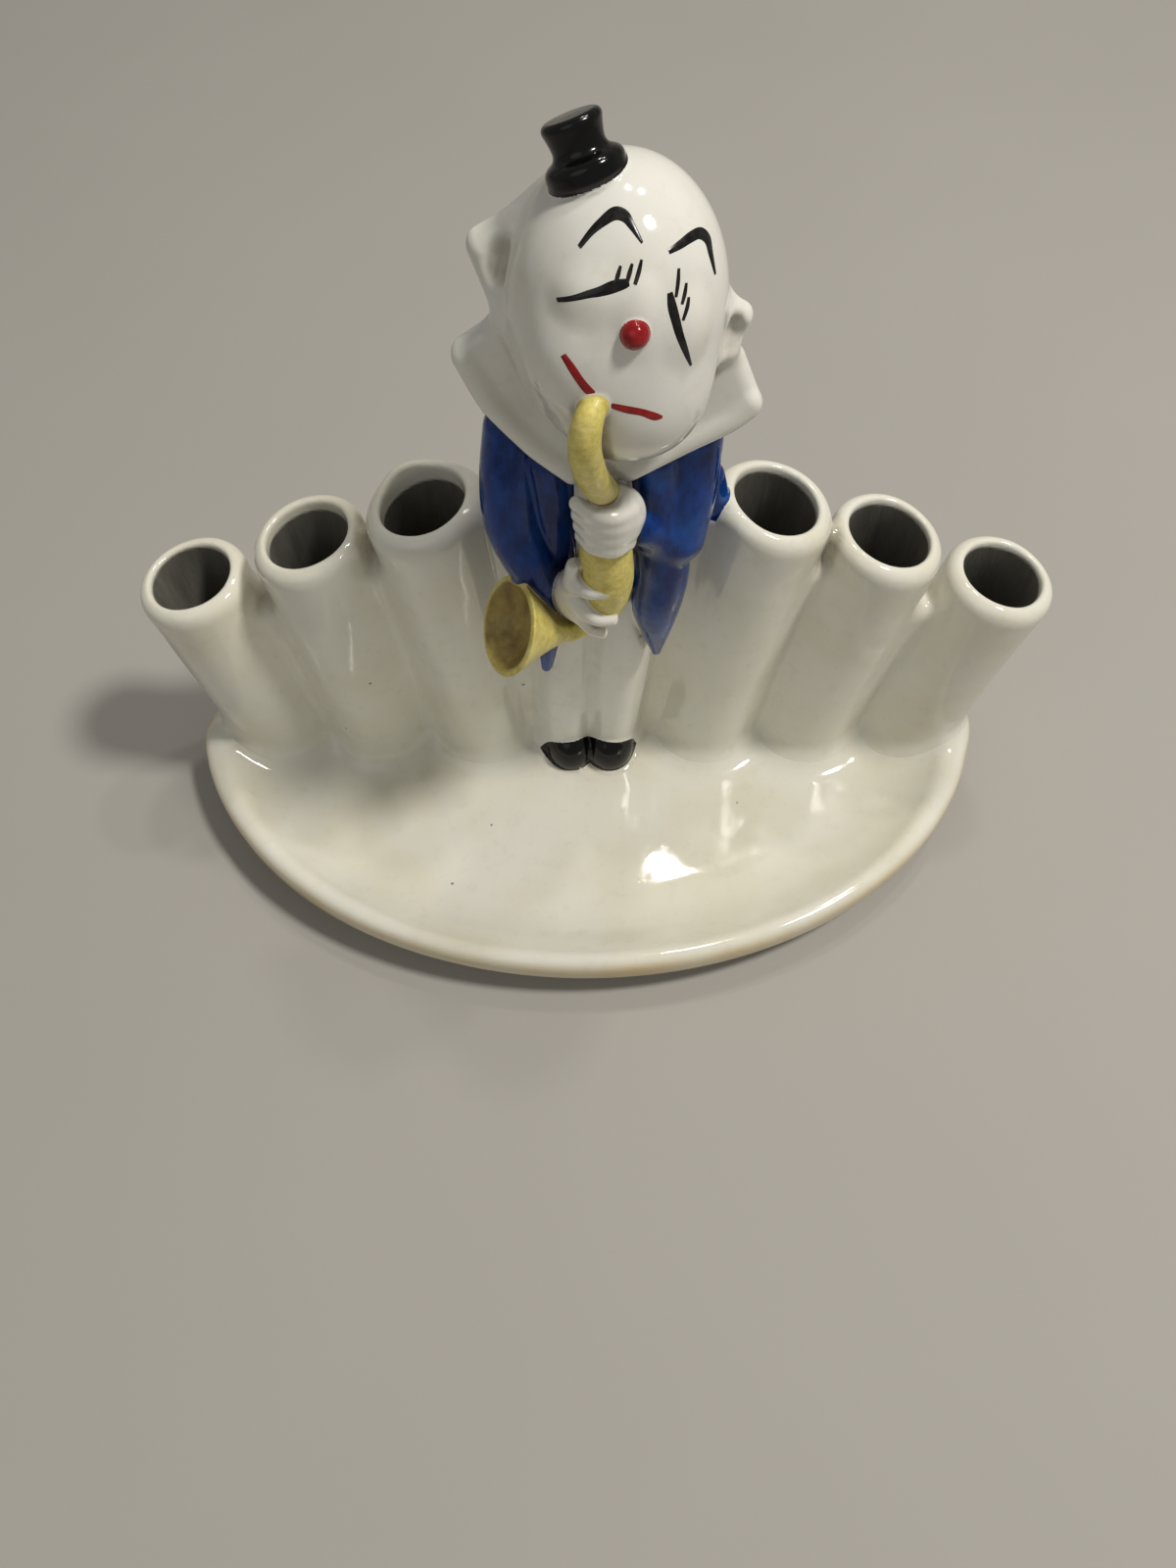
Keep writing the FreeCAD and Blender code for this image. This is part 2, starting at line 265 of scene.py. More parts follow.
class Tube:
    """Axis, mouth and bore of one holder tube, from its bore mount and its CAD box."""

    LUMP_AT = (-3.4, 5.6, 0.4)    # from the mouth of tube_3
    LUMP_H = 1.1
    LIP = 2.6                     # how widely the outer edge of the mouth is rounded

    def __init__(self, index, mount):
        self.node = "tube_%d" % index
        self.lo, self.hi = box(self.node)
        self.axis = np.array(mount["axis"])
        self.middle = np.array(mount["pos_m"]) / MM
        self.bore_r = mount["dims"]["r_mm"]
        self.length = mount["dims"]["length_mm"]
        self.r = (self.hi[1] - self.lo[1]) / 2
        side = 1.0 if self.middle[0] > 0 else -1.0
        slope = math.radians(MOUTH_SLOPE[index - 4 if index > 3 else 3 - index])
        self.mouth_normal = np.array((side * math.sin(slope), 0.0, math.cos(slope)))
        mouth_z = self.hi[2] - self.r * math.sin(slope) + 0.2
        self.mouth = self.middle + self.axis * (mouth_z - self.middle[2]) / self.axis[2]
        self.floor = self.middle - self.axis * self.length / 2
        self.seed = index

    def radial(self, p):
        return around(p, self.middle, self.axis)[0]

    def below_mouth(self, p):
        return (self.mouth - p) @ self.mouth_normal

    def solid(self, p):
        wall = self.radial(p) - self.r - 0.10 * wobble(p, 17.0, self.seed)
        wall += 0.12 * np.clip(self.below_mouth(p) / 6.0 - 0.3, 0.0, 1.0)
        top = -self.below_mouth(p) - 0.12 * wobble(p, 9.0, self.seed + MOUTH_SEED)
        if self.node == "tube_3":
            # a lump of clay left on the far side of this rim
            q = p - (self.mouth + np.array(self.LUMP_AT))
            top -= self.LUMP_H * np.exp(-(q ** 2).sum(axis=1) / 12.0)
        return smax(smax(wall, top, self.LIP), ROOT_H - p[:, 2], 0.5)

    def bore(self, p):
        wall = self.radial(p) - self.bore_r - 0.05 * wobble(p, 8.0, self.seed + BORE_SEED)
        flare = 0.12 * np.exp(-np.clip(self.below_mouth(p), 0.0, 9.0) / 0.6)
        return smax(wall - flare, -(p - self.floor) @ self.axis, 1.5)

    def bore_box(self):
        return self.lo - 0.5, self.hi + 0.5


def make_tubes():
    mounts = {m["name"]: m for m in frame["record"]["mounts"]}
    return [Tube(i, mounts["holder_bore_%d" % i]) for i in range(1, 7)]


# ---- dish -------------------------------------------------------------------------------
class Dish:
    """Crescent dish: a plan outline, and a section drawn against the distance in from it."""

    CELL = 0.5
    WALL_FROM = 16.0         # the basin's wall starts this far in from the outline
    WALL_WIDE = 13.8
    CLIMB = 0.0015           # how the basin's floor rises behind the line CLIMB_FROM
    CLIMB_FROM = -22.0
    FALL_FROM = 13.5         # the side rims run down behind this line
    DRAW_IN_H = RIM_H - 3.5  # the outer side draws in below this height
    DRAW_IN = 7.0
    RECESS_H = 1.2
    FOOT_RING = 13.0         # the recess underneath starts this far in from the outline

    def __init__(self):
        self.lo, self.hi = box("dish")
        self.half_w = (self.hi[0] - self.lo[0]) / 2
        self.mid_x = (self.hi[0] + self.lo[0]) / 2
        self.wide_y = self.lo[1] + (self.hi[1] - self.lo[1]) * FRONT_SHARE
        self.make_inset_map()

    def make_inset_map(self):
        """Distance in from the outline, on a grid over the plan."""
        t = np.linspace(0.0, 2 * math.pi, 360, endpoint=False)
        c, s = np.cos(t), np.sin(t)
        front = s < 0
        x = self.half_w * np.where(front, c, np.sign(c) * np.abs(c) ** 0.6)
        y = np.where(front, (self.wide_y - self.lo[1]) * s,
                     (self.hi[1] - self.wide_y) * np.abs(s) ** 0.6)
        x += self.mid_x
        y += self.wide_y
        self.gx = np.arange(self.lo[0] - 4.0, self.hi[0] + 4.0, self.CELL)
        self.gy = np.arange(self.lo[1] - 4.0, self.hi[1] + 4.0, self.CELL)
        px, py = np.meshgrid(self.gx, self.gy, indexing="ij")
        self.inset = -polygon(px.ravel(), py.ravel(), np.c_[x, y]).reshape(px.shape)

    def inset_at(self, p):
        """The map read between its grid points."""
        fx = np.clip((p[:, 0] - self.gx[0]) / self.CELL, 0, len(self.gx) - 1.001)
        fy = np.clip((p[:, 1] - self.gy[0]) / self.CELL, 0, len(self.gy) - 1.001)
        i, j = fx.astype(int), fy.astype(int)
        u, v = fx - i, fy - j
        m = self.inset
        return ((1 - u) * (1 - v) * m[i, j] + u * (1 - v) * m[i + 1, j]
                + (1 - u) * v * m[i, j + 1] + u * v * m[i + 1, j + 1])

    def field(self, p):
        z = p[:, 2]
        behind = p[:, 1] - self.wide_y
        inset = self.inset_at(p) + 0.12 * wobble(p, 40.0, 3)
        # the basin has no wall at the back, where the tubes stand
        from_rim = inset + np.maximum(behind, 0.0) * 1.5
        rise = np.clip((self.WALL_FROM - from_rim) / self.WALL_WIDE, 0.0, 1.15)
        # its floor climbs gently towards the tubes
        climb = self.CLIMB * np.maximum(p[:, 1] - self.CLIMB_FROM, 0.0) ** 2
        basin = BASIN_H + climb + (RIM_H - BASIN_H) * rise ** 2.4
        slope = 1.1 * rise ** 1.4
        top = (z - basin) / np.sqrt(1.0 + slope ** 2)
        rim = z - RIM_H - 0.10 * wobble(p, 30.0, 5)
        # the side rims run down behind the outer tubes
        fall = (z - RIM_H - 0.1 + 0.62 * (p[:, 1] - self.FALL_FROM)) / 1.18
        top = smax(smax(top, rim, 0.9), fall, 2.0)
        under = np.clip((self.DRAW_IN_H - z) / self.DRAW_IN_H, 0.0, 1.0)
        side = (self.DRAW_IN * under ** 1.6 - inset) / 1.25
        recess = np.maximum(z - self.RECESS_H, self.FOOT_RING - inset)
        foot = smax(-z, -recess, 0.6)
        return smax(smax(top, side, 2.2), foot, 0.8)

    def outer_side(self, p):
        """1 on the outside of the rim and below it, 0 in the basin."""
        inset = self.inset_at(p)
        return np.clip(1.0 - (inset - 1.2) / 1.2, 0, 1) * np.clip((RIM_H - 0.3 - p[:, 2]) / 1.0, 0, 1)


# ---- clay between the tubes -------------------------------------------------------------
def web(node, left, right):
    """Upright sheet of clay that fills the gap between the axes of two tubes."""
    lo, hi = box(node)
    mid_y = (lo[1] + hi[1]) / 2
    half_t = (hi[1] - lo[1]) / 2

    def field(p):
        def from_axis(t):
            x = t.middle[0] + t.axis[0] * (p[:, 2] - t.middle[2]) / t.axis[2]
            return p[:, 0] - x
        across = np.maximum(-from_axis(left), from_axis(right))
        top = p[:, 2] - hi[2] - 0.6 * wobble(p, 7.0, left.seed)
        d = smax(np.abs(p[:, 1] - mid_y) - half_t, top, 2.0)
        return smax(smax(d, across, 0.5), ROOT_H - p[:, 2], 0.5)
    return field


# ---- figure -----------------------------------------------------------------------------
HEAD_TURN = rotation(HEAD_TILT, HEAD_TIP)


def head_centre():
    lo, hi = box("head")
    return (lo + hi) / 2


def on_face(x, y, z):
    """Point given in the head's own axes: x to the side, -y out of the face, z to the crown."""
    return tuple(head_centre() + HEAD_TURN @ np.array((x, y, z)))


def head_field():
    """Skull with its lids, cheek, jaw and the bridge of the nose."""
    c = head_centre()
    radii = np.array((HEAD_R, HEAD_R, HEAD_HALF_H))

    def skull(p):
        q = (p - c) @ HEAD_TURN
        # fuller at the crown than at the chin
        grow = 1.0 + 0.045 * q[:, 2] / HEAD_HALF_H
        return ellipsoid_distance(q / np.stack([grow, grow, np.ones(len(q))], axis=1), radii)
    lids = [ellipsoid(on_face(-2.4, -8.0, 3.6), (3.0, 2.0, 2.2), HEAD_TURN),
            ellipsoid(on_face(5.2, -7.2, 1.0), (2.2, 2.0, 3.0), HEAD_TURN)]
    cheek = ellipsoid(on_face(-3.6, -6.6, -2.8), (3.4, 3.0, 3.4), HEAD_TURN)
    jaw = ellipsoid(on_face(2.6, -3.0, -7.2), (6.0, 5.6, 5.6), HEAD_TURN)
    bridge = ellipsoid(on_face(1.2, -9.4, 2.4), (1.3, 1.1, 2.6), HEAD_TURN)
    return joined([joined([skull, jaw, cheek], 4.0)] + lids + [bridge], 1.8)


def ear(node, corners, corner_r, hollow, hollow_r, hollow_turn):
    """Thick flap with round corners, leaning back with the head and hollowed in front."""
    lean = math.tan(math.radians(HEAD_TIP))
    outline = outline_of(node, corners)
    middle = at(node, 0.0, -0.3, 0.0)

    def flap(p):
        d = polygon(p[:, 0], p[:, 2], outline) - corner_r
        y = p[:, 1] - middle[1] - lean * (p[:, 2] - middle[2])
        return smax(d, np.abs(y) - 1.75, 2.4) + 0.2
    return carved(flap, ellipsoid(at(node, *hollow), hollow_r, rotation(hollow_turn, HEAD_TIP)), 1.2)


def wing(node, corners, cup, hem):
    """Collar wing: a leaning plate with round corners, hollowed in the middle, with a rolled hem."""
    outline = outline_of(node, corners)
    lo, hi = box(node)
    mid = (lo + hi) / 2

    def field(p):
        d = polygon(p[:, 0], p[:, 2], outline) - 1.5
        y = p[:, 1] - mid[1] - COLLAR_LEAN * (p[:, 2] - mid[2])
        y -= cup * np.exp(-((p[:, 0] - mid[0]) ** 2 + (p[:, 2] - mid[2]) ** 2) / 30.0)
        return smax(d, (np.abs(y) - COLLAR_THICK / 2) * 0.95, 1.7)
    roll = limb([at(node, x, COLLAR_LEAN * z - 0.55, z, 0.85) for x, z in hem])
    return joined([field, roll], 1.1)


def turned(base, axis, section):
    """Field of a shape turned about an axis, from a 2D field of radius and height."""
    base = np.array(base)
    axis = np.array(axis) / np.linalg.norm(axis)
    return lambda p: section(*around(p, base, axis))


def flare_radius(t):
    """Outer radius of the bell, from its narrow end at 0 to its lip at 1."""
    return 1.1 + 4.9 * t ** 1.3


def bell_section(r, h):
    """Saxophone bell: a flare from its narrow end, dished in its mouth."""
    flare = [(flare_radius(t), t * BELL_L) for t in np.linspace(0.0, 1.0, 9)]
    dished = [(5.4 * (1 - t), BELL_L + 0.1 - 3.4 * math.sin(t * 1.57) ** 0.8)
              for t in np.linspace(0, 1, 8)]
    return polygon(r, h, [(0.0, 0.0)] + flare + dished) - 0.12


def crown_section(r, h):
    """Hat crown: a slight waist and a wider, well rounded top."""
    side = [(1.9 - 0.15 * math.sin(t * math.pi) + 0.3 * t ** 2, 3.7 * t) for t in np.linspace(0.0, 1.0, 7)]
    return polygon(r, h, [(0.0, -0.5)] + side + [(0.0, 3.75)]) - 0.6


def brim_section(r, h):
    """Hat brim: a thick disc with a rounded edge."""
    edge = 0.85
    over_r = np.maximum(r - 3.7 + edge, 0.0)
    over_h = np.maximum(np.abs(h + 0.15) - 1.15 + edge, 0.0)
    return np.hypot(over_r, over_h) - edge


def hand(node, palm, palm_r, fingers):
    """Palm with its fingers laid over it, creased between them."""
    fields = [ellipsoid(at(node, *palm), palm_r)]
    fields += [limb(run(node, f), 4) for f in fingers]
    return joined(fields, 1.1)


def leg(node, shares):
    """Trouser leg, deeper from front to back than it is wide."""
    narrow = limb(run(node, shares), 4)
    lo, hi = box(node)
    mid_y = (lo[1] + hi[1]) / 2

    def field(p):
        q = p.copy()
        q[:, 1] = mid_y + (p[:, 1] - mid_y) * 0.84
        return smax(smax(narrow(q), p[:, 2] - hi[2], 0.5), ROOT_H - p[:, 2], 0.5)
    return field


def make_pieces(tubes, dish):
    """All pieces, in the order in which they join. Fillets and mesh cells are in millimetres."""
    pieces = []

    def add(node, field, soft, voxel, slot):
        pieces.append(Piece(node, field, soft, voxel, slot))

    for t in tubes:
        add(t.node, t.solid, 2.0, 0.36, "ivory_glaze")
    for i in (1, 2, 4, 5):
        node = "web_%d_%d" % (i, i + 1)
        add(node, web(node, tubes[i - 1], tubes[i]), 3.0, 0.36, "ivory_glaze")
    add("back_web", web("back_web", tubes[2], tubes[3]), 3.0, 0.36, "ivory_glaze")
    add("dish", dish.field, 4.5, 0.45, "ivory_glaze")
    add("left_leg", leg("left_leg", [(-0.1, 0.8, -20.5, 3.9), (-0.1, 0.4, -11.0, 4.2),
                                     (-0.1, 0.2, 5.0, 4.1), (0.5, 0.2, 21.0, 4.3)]),
        3.5, 0.28, "white_glaze")
    add("right_leg", leg("right_leg", [(-1.1, 0.8, -20.5, 3.9), (-0.8, 0.4, -11.0, 4.2),
                                       (-0.2, 0.2, 5.0, 4.6), (0.0, 0.2, 21.0, 4.6)]),
        1.8, 0.28, "white_glaze")
    add("left_shoe", ellipsoid(at("left_shoe", 0.4, -0.4, -0.7), (3.6, 3.8, 4.4)), 0.3, 0.2, "black_glaze")
    add("right_shoe", ellipsoid(at("right_shoe", -0.4, -0.4, -0.7), (3.7, 3.8, 4.4)),
        0.8, 0.2, "black_glaze")
    add("jacket_back", ellipsoid(at("jacket_back", 0.2, 0.2, 0.6), (11.3, 5.6, 20.5)),
        1.2, 0.28, "blue_glaze")
    add("shirt_front", ellipsoid(at("shirt_front", 0.0, 0.1, -0.1), (4.2, 3.2, 13.5)),
        0.8, 0.2, "white_glaze")
    add("back_tail", limb(run("back_tail", [(-0.4, 0.0, 1.9, 2.0), (0.2, 0.0, -1.7, 2.3)])),
        0.5, 0.2, "blue_glaze")
    add("jacket_left_front", limb(run("jacket_left_front", [
        (-0.3, 1.1, 18.3, 2.7), (0.2, 0.3, 9.9, 2.7), (0.1, -0.3, 1.9, 2.2),
        (-0.8, 1.5, -7.1, 2.2), (-1.5, 1.1, -20.5, 0.7)])), 0.8, 0.2, "blue_glaze")
    add("jacket_right_front", limb(run("jacket_right_front", [
        (-0.9, 1.0, 16.2, 2.7), (0.4, 0.4, 4.7, 3.2), (1.0, 0.2, -1.7, 3.3),
        (0.6, 0.0, -8.8, 2.9), (1.1, 0.2, -18.1, 0.7)])), 0.8, 0.2, "blue_glaze")
    add("left_sleeve", limb(run("left_sleeve", [
        (-1.1, 2.9, 9.7, 3.4), (-1.6, 1.1, 4.3, 3.6), (-1.4, -0.5, -1.3, 3.6),
        (0.6, -2.7, -6.5, 3.0), (3.2, -4.0, -10.9, 1.9)])), 0.4, 0.2, "blue_glaze")
    upper_arm = limb(run("right_sleeve", [(2.0, 2.5, 6.5, 3.4), (1.8, 0.9, -0.2, 3.4),
                                          (1.1, -0.3, -6.5, 3.2)]))
    forearm = limb(run("right_sleeve", [(0.9, 0.0, -6.7, 2.8), (-1.2, -1.0, -4.9, 2.8),
                                        (-3.2, -2.2, -2.6, 2.5)]))
    add("right_sleeve", joined([upper_arm, forearm], 1.4), 0.8, 0.2, "blue_glaze")
    add("collar_left", wing("collar_left", [
        (-6.9, 4.8), (-1.3, 8.3), (8.1, 8.3), (8.1, -6.2), (3.9, -7.5),
        (-0.2, -4.5), (-4.3, -0.2)], 1.2,
        [(-7.0, 4.4), (-4.6, -0.2), (-0.4, -4.6), (3.8, -7.6)]), 0.8, 0.2, "white_glaze")
    add("collar_right", wing("collar_right", [
        (6.5, 1.2), (4.4, 5.6), (0.1, 9.0), (-7.5, 9.0), (-7.5, -5.4),
        (-5.9, -5.4), (-0.5, -2.7), (4.5, -0.2)], 0.4,
        [(6.6, 1.6), (4.4, -0.4), (-0.5, -3.0), (-5.6, -5.7)]), 0.8, 0.2, "white_glaze")
    add("head", head_field(), 0.9, 0.25, "white_glaze")
    add("left_ear", ear("left_ear", [(-1.3, 1.5), (1.1, -4.4), (5.8, -2.4), (4.8, 4.6)],
                        1.9, (1.5, -2.0, 0.6), (2.2, 1.6, 3.0), -8.0),
        2.2, 0.18, "white_glaze")
    add("right_ear", ear("right_ear", [(2.1, 0.8), (-1.6, 2.5), (-2.1, -2.4), (0.9, -1.7)],
                         1.6, (1.0, -1.8, -0.2), (1.2, 1.4, 1.9), 20.0),
        1.8, 0.18, "white_glaze")
    add("nose", ellipsoid(on_face(1.1, -HEAD_R - 0.05, 1.3), (1.35, 1.4, 1.35), HEAD_TURN),
        0.25, 0.12, "red_glaze")
    hat = at("hat_crown", 0.9, -1.0, -2.3)
    add("hat_brim", turned(hat, HAT_AXIS, brim_section), 0.4, 0.14, "black_glaze")
    add("hat_crown", turned(hat, HAT_AXIS, crown_section), 1.1, 0.14, "black_glaze")
    add("sax_body", limb(run("sax_body", [
        (1.3, 0.0, 11.0, 2.6), (1.5, -0.4, 6.0, 3.1), (1.8, -0.4, 1.5, 3.0), (1.4, 0.0, -3.5, 2.3),
        (-0.5, 0.5, -7.4, 1.7), (-2.5, 0.2, -8.6, 1.4)])), 0.4, 0.18, "yellow_paint")
    add("sax_bell", turned(at("sax_bell", *BELL_BASE), BELL_AXIS, bell_section),
        0.7, 0.18, "yellow_paint")
    add("sax_neck", limb(run("sax_neck", [
        (0.2, -0.8, 9.0, 1.2), (-0.9, -2.9, 7.5, 1.5), (-1.2, -3.3, 4.7, 1.65),
        (-0.7, -2.0, 0.4, 1.7), (0.3, 0.6, -4.4, 1.7), (1.2, 4.2, -9.0, 1.6)])),
        0.4, 0.16, "yellow_paint")
    rows = [[(-3.5 + 0.2 * i, -1.6, 2.7 - 1.7 * i, 0.8), (-1.6, -3.1, 2.7 - 1.7 * i, 0.95),
             (0.6, -3.3, 2.4 - 1.7 * i, 1.0), (2.2, -2.0, 2.0 - 1.7 * i, 0.9)] for i in range(4)]
    add("upper_hand", hand("upper_hand", (0.9, -0.5, 0.0), (3.3, 3.0, 3.4), rows), 0.4, 0.16, "white_glaze")
    add("lower_hand", hand("lower_hand", (-1.2, 0.0, -0.4), (2.9, 2.6, 4.0), [
        [(-1.8, -0.8, 2.1, 1.0), (-1.6, -1.4, 5.6, 0.9), (-1.2, -1.6, 7.3, 0.8)],
        [(-1.4, -1.6, 3.3, 1.0), (0.4, -2.9, 3.4, 0.95), (2.3, -3.1, 3.7, 0.7)],
        [(-1.2, -1.8, 0.5, 1.0), (1.0, -3.0, -1.3, 0.95), (3.1, -2.8, -1.9, 0.8)],
        [(-1.0, -1.6, -2.1, 1.0), (0.6, -2.4, -4.0, 0.9), (1.9, -2.2, -5.3, 0.8)]]),
        0.4, 0.16, "white_glaze")
    return pieces


# ---- from fields to meshes --------------------------------------------------------------
class Sculpture:
    """The common surface of all pieces, and each piece's share of it."""

    BAND = 2.6               # further out than this the piece's own field decides alone
    OVERLAP = 2.5            # voxels that a piece runs on under its neighbours
    SINK = 0.3               # how fast it drops below them there
    PAD = 2.5                # how far past its CAD box a piece may reach
    BATCH = 400000           # points worked out at a time
    CREASE = 1.3             # how far ahead closing_in looks
    FLATTEST = 0.05          # lowest squared slope that settle trusts
    LONGEST_MOVE = 0.35      # voxels that settle may move a point

    def __init__(self, pieces, tubes):
        self.pieces = pieces
        self.tubes = tubes

    def distances(self, piece, p, lo, hi):
        """Common field of all pieces, and how far each point is outside the piece's own share."""
        common = np.full(len(p), 50.0)
        own = None
        others = np.full(len(p), 50.0)
        for q in self.pieces:
            if q is piece:
                own = q.field(p)
                common = smin(common, own, q.soft)
                continue
            near = q.close_to(p)
            if near.any():
                d = q.field(p[near])
                others[near] = np.minimum(others[near], d)
                common[near] = smin(common[near], d, q.soft)
        for t in self.tubes:
            a, b = t.bore_box()
            if np.all(a < hi) and np.all(b > lo):
                common = smax(common, -t.bore(p), 0.7)
        # nothing goes below the floor
        return np.maximum(common, -p[:, 2]), (own - others) / 2

    def field(self, piece, p, lo, hi):
        """The piece's share of the common surface, running on a little under its neighbours."""
        common, share = self.distances(piece, p, lo, hi)
        reach = self.OVERLAP * piece.voxel
        return np.maximum(common + self.SINK * np.maximum(share, 0.0), share - reach)

    def mesh(self, piece):
        """Points and faces of one piece, and the corners of the space it was made in."""
        h = piece.voxel
        lo = piece.lo - self.PAD
        hi = piece.hi + self.PAD
        axes = [np.arange(lo[i], hi[i] + h, h) for i in range(3)]
        grid = np.empty([len(a) for a in axes], dtype=np.float32)
        step = max(1, int(self.BATCH / (len(axes[1]) * len(axes[2]))))
        for i in range(0, len(axes[0]), step):
            g = np.meshgrid(axes[0][i:i + step], axes[1], axes[2], indexing="ij")
            p = np.stack([a.ravel() for a in g], axis=1)
            values = piece.field(p)
            close = values < self.BAND
            values[close] = self.field(piece, p[close], lo, hi)
            grid[i:i + step] = values.reshape(g[0].shape)
        # an all-positive border closes the mesh
        for cut in (np.s_[0], np.s_[-1]):
            grid[cut] = np.maximum(grid[cut], h)
            grid[:, cut] = np.maximum(grid[:, cut], h)
            grid[:, :, cut] = np.maximum(grid[:, :, cut], h)
        vdb = openvdb.FloatGrid(float(3 * h))
        vdb.copyFromArray(grid)
        points, triangles, quads = vdb.convertToPolygons(isovalue=0.0, adaptivity=0.0)
        points = points.astype(float) * h + lo
        points, faces = keep_main_part(points, [tuple(t) for t in triangles] + [tuple(q) for q in quads])
        points = self.settle(piece, points, lo, hi)
        return points, faces, lo, hi

    def closing_in(self, piece, points, lo, hi):
        """How far the surface folds in around each point: 0 where it is open, 1 deep in a crease."""
        def common(p):
            return self.distances(piece, p, lo, hi)[0]
        slope = unit(changes(common, points, 0.05)[1])
        ahead = common(points + slope * self.CREASE)
        return np.clip((0.8 - ahead / self.CREASE) / 0.6, 0.0, 1.0)

    def settle(self, piece, points, lo, hi):
        """Move each point onto the surface along the field's own slope."""
        step = 0.02
        f, change = changes(lambda p: self.field(piece, p, lo, hi), points, step)
        slope = change / step
        size = np.maximum((slope ** 2).sum(axis=1), self.FLATTEST)
        move = -(f / size)[:, None] * slope
        far = np.linalg.norm(move, axis=1)
        limit = self.LONGEST_MOVE * piece.voxel
        move *= np.minimum(1.0, limit / np.maximum(far, TINY))[:, None]
        return points + move


def keep_main_part(points, faces):
    """Drop crumbs: keep only the largest connected part of a mesh."""
    label = np.arange(len(points))
    edges = np.array([(f[i], f[(i + 1) % len(f)]) for f in faces for i in range(len(f))])
    while True:
        before = label.copy()
        low = np.minimum(label[edges[:, 0]], label[edges[:, 1]])
        np.minimum.at(label, edges[:, 0], low)
        np.minimum.at(label, edges[:, 1], low)
        label = label[label]
        if np.array_equal(before, label):
            break
    names, counts = np.unique(label, return_counts=True)
    keep = label == names[np.argmax(counts)]
    index = np.cumsum(keep) - 1
    return points[keep], [tuple(int(index[v]) for v in f) for f in faces if keep[f[0]]]


def signed_volume(points, faces):
    """Enclosed volume, negative when the faces look inwards."""
    tri = []
    for f in faces:
        tri.append((f[0], f[1], f[2]))
        if len(f) == 4:
            tri.append((f[0], f[2], f[3]))
    t = points[np.array(tri)]
    return np.einsum("ij,ij->i", t[:, 0], np.cross(t[:, 1], t[:, 2])).sum() / 6.0


def add_object(name, points, faces, material, attributes=None, sharp=70.0):
    """Closed smooth-shaded mesh from points in millimetres, with named values on its points."""
    mesh = bpy.data.meshes.new(name)
    mesh.from_pydata([tuple(p) for p in points * MM], [], faces)
    mesh.polygons.foreach_set("use_smooth", [True] * len(mesh.polygons))
    mesh.set_sharp_from_angle(angle=math.radians(sharp))
    for key, values in (attributes or {}).items():
        layer = mesh.attributes.new(key, "FLOAT", "POINT")
        layer.data.foreach_set("value", np.asarray(values, dtype=np.float32))
    mesh.materials.append(material)
    mesh.validate()
    obj = bpy.data.objects.new(name, mesh)
    bpy.context.scene.collection.objects.link(obj)
    return obj


